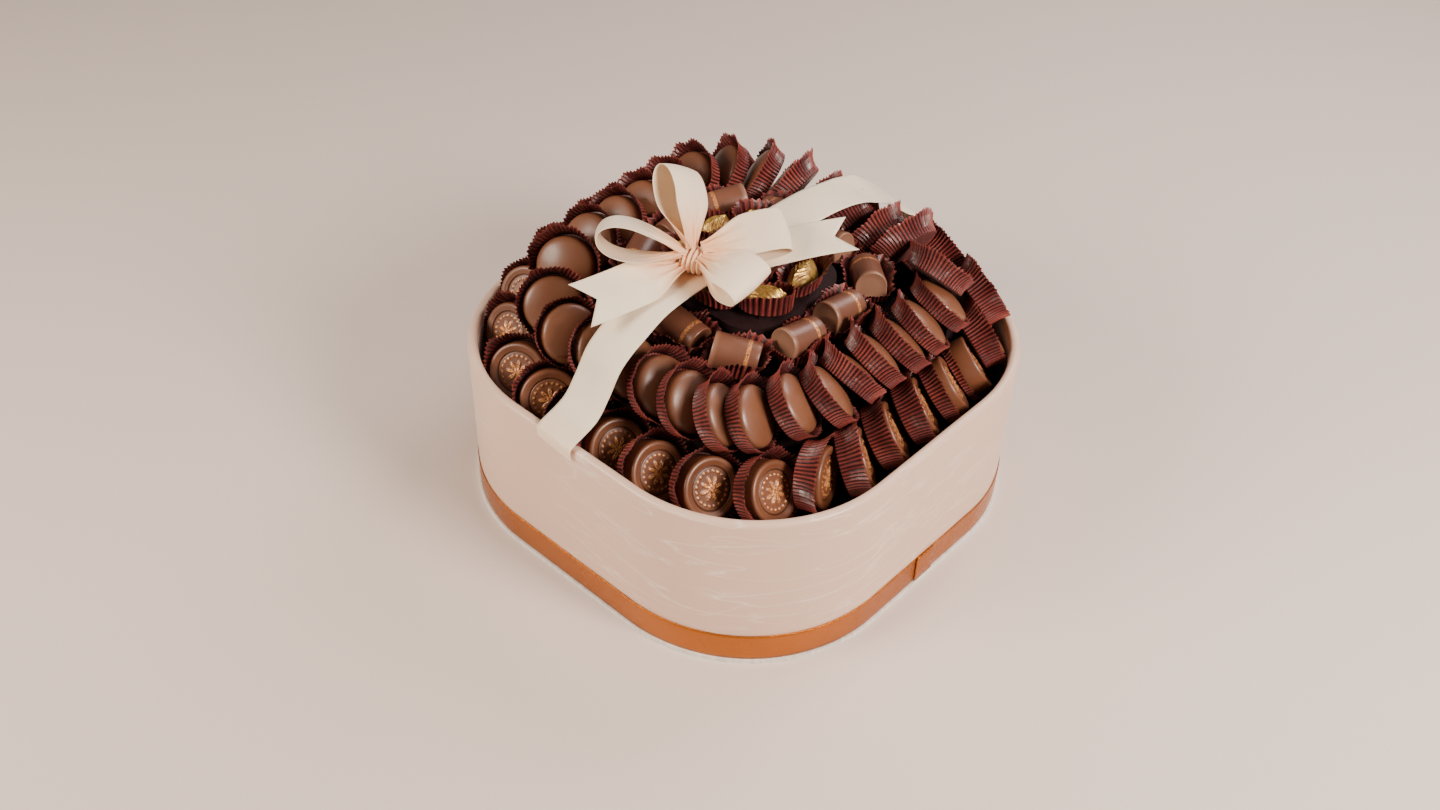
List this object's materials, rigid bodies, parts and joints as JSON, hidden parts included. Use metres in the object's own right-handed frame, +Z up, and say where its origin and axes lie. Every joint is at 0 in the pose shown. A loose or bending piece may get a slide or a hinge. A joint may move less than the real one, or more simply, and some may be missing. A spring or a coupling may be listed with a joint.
{
  "type": "chocolate tray",
  "caption": "Open rounded-square presentation box filled with rings of pralines in pleated paper cups, tied over with a satin ribbon and bow.",
  "frame": {"origin": "centre of the underside of the base board, on the surface that the tray stands on", "axes": "+Z up, +X to the right and +Y to the back; the ribbon runs along Y and its bow is towards -Y"},
  "size_m": [0.253, 0.2546, 0.1924],
  "materials": {
    "base_board": "matt white board",
    "grey_board": "matt grey board",
    "wrap": "cream crinkled leatherette, satin sheen",
    "lining": "matt cream paper",
    "copper_satin": "copper satin",
    "card": "matt dark card",
    "ribbon": "cream satin",
    "ribbon_knot": "cream satin, gathered",
    "paper_cup": "pleated burgundy paper, slight gloss",
    "medal_chocolate": "milk chocolate with gold flecks, satin",
    "milk_chocolate": "milk chocolate, satin",
    "log_chocolate": "milk chocolate with a gold stripe, satin",
    "gold_chocolate": "chocolate dusted with gold, soft metallic"
  },
  "bodies": {
    "tray": {"base_board": "base_board", "wall_board": "grey_board", "wall_wrap": "wrap", "wall_lining": "lining", "foot_band": "copper_satin", "band_lap": "copper_satin", "riser_outer": "card", "riser_middle": "card", "riser_inner": "card", "riser_crown": "card", "seats": "card", "strap": "ribbon", "knot": "ribbon_knot", "loop_up": "ribbon", "loop_left": "ribbon", "loop_right": "ribbon", "loop_back": "ribbon", "tail_front": "ribbon", "tail_back": "ribbon", "medallions_front": "medal_chocolate", "medallions_back": "medal_chocolate", "medal_cups_front": "paper_cup", "medal_cups_back": "paper_cup", "domes_front": "milk_chocolate", "domes_back": "milk_chocolate", "dome_cups_front": "paper_cup", "dome_cups_back": "paper_cup", "logs": "log_chocolate", "log_cups": "paper_cup", "leaves": "gold_chocolate", "leaf_cups": "paper_cup"},
    "loose_medallion_1": {"medallion_1": "medal_chocolate", "medal_cup_1": "paper_cup"},
    "loose_medallion_2": {"medallion_2": "medal_chocolate", "medal_cup_2": "paper_cup"},
    "loose_medallion_3": {"medallion_3": "medal_chocolate", "medal_cup_3": "paper_cup"},
    "loose_medallion_4": {"medallion_4": "medal_chocolate", "medal_cup_4": "paper_cup"},
    "loose_dome_1": {"dome_1": "milk_chocolate", "dome_cup_1": "paper_cup"},
    "loose_dome_2": {"dome_2": "milk_chocolate", "dome_cup_2": "paper_cup"},
    "loose_dome_3": {"dome_3": "milk_chocolate", "dome_cup_3": "paper_cup"},
    "loose_dome_4": {"dome_4": "milk_chocolate", "dome_cup_4": "paper_cup"},
    "loose_dome_5": {"dome_5": "milk_chocolate", "dome_cup_5": "paper_cup"},
    "loose_log_1": {"log_1": "log_chocolate", "log_cup_1": "paper_cup"},
    "loose_log_2": {"log_2": "log_chocolate", "log_cup_2": "paper_cup"},
    "loose_log_3": {"log_3": "log_chocolate", "log_cup_3": "paper_cup"},
    "loose_leaf_1": {"leaf_1": "gold_chocolate", "leaf_cup_1": "paper_cup"},
    "loose_leaf_2": {"leaf_2": "gold_chocolate", "leaf_cup_2": "paper_cup"}
  },
  "joints": [
    {"name": "lift_medallion_1", "type": "slide", "parent": "tray", "child": "loose_medallion_1", "axis": [0.3758, 0.4927, 0.7849], "range_m": [0, 0.038]},
    {"name": "lift_medallion_2", "type": "slide", "parent": "tray", "child": "loose_medallion_2", "axis": [-0.2801, 0.6467, 0.7094], "range_m": [0, 0.038]},
    {"name": "lift_medallion_3", "type": "slide", "parent": "tray", "child": "loose_medallion_3", "axis": [-0.5736, 0.4096, 0.7094], "range_m": [0, 0.038]},
    {"name": "lift_medallion_4", "type": "slide", "parent": "tray", "child": "loose_medallion_4", "axis": [-0.3434, 0.427, 0.8365], "range_m": [0, 0.038]},
    {"name": "lift_dome_1", "type": "slide", "parent": "tray", "child": "loose_dome_1", "axis": [-0.4546, -0.2081, 0.866], "range_m": [0, 0.04]},
    {"name": "lift_dome_2", "type": "slide", "parent": "tray", "child": "loose_dome_2", "axis": [0.0069, -0.6857, 0.7279], "range_m": [0, 0.038]},
    {"name": "lift_dome_3", "type": "slide", "parent": "tray", "child": "loose_dome_3", "axis": [-0.3208, -0.6625, 0.6769], "range_m": [0, 0.038]},
    {"name": "lift_dome_4", "type": "slide", "parent": "tray", "child": "loose_dome_4", "axis": [0.4247, 0.2639, 0.866], "range_m": [0, 0.04]},
    {"name": "lift_dome_5", "type": "slide", "parent": "tray", "child": "loose_dome_5", "axis": [-0.2355, 0.4411, 0.866], "range_m": [0, 0.04]},
    {"name": "lift_log_1", "type": "slide", "parent": "tray", "child": "loose_log_1", "axis": [0.0111, 0.1733, 0.9848], "range_m": [0, 0.035]},
    {"name": "lift_log_2", "type": "slide", "parent": "tray", "child": "loose_log_2", "axis": [-0.1263, 0.1192, 0.9848], "range_m": [0, 0.035]},
    {"name": "lift_log_3", "type": "slide", "parent": "tray", "child": "loose_log_3", "axis": [0, -0.1736, 0.9848], "range_m": [0, 0.035]},
    {"name": "lift_leaf_1", "type": "slide", "parent": "tray", "child": "loose_leaf_1", "axis": [0, 0, 1], "range_m": [0, 0.011]},
    {"name": "lift_leaf_2", "type": "slide", "parent": "tray", "child": "loose_leaf_2", "axis": [0, 0, 1], "range_m": [0, 0.035]}
  ]
}
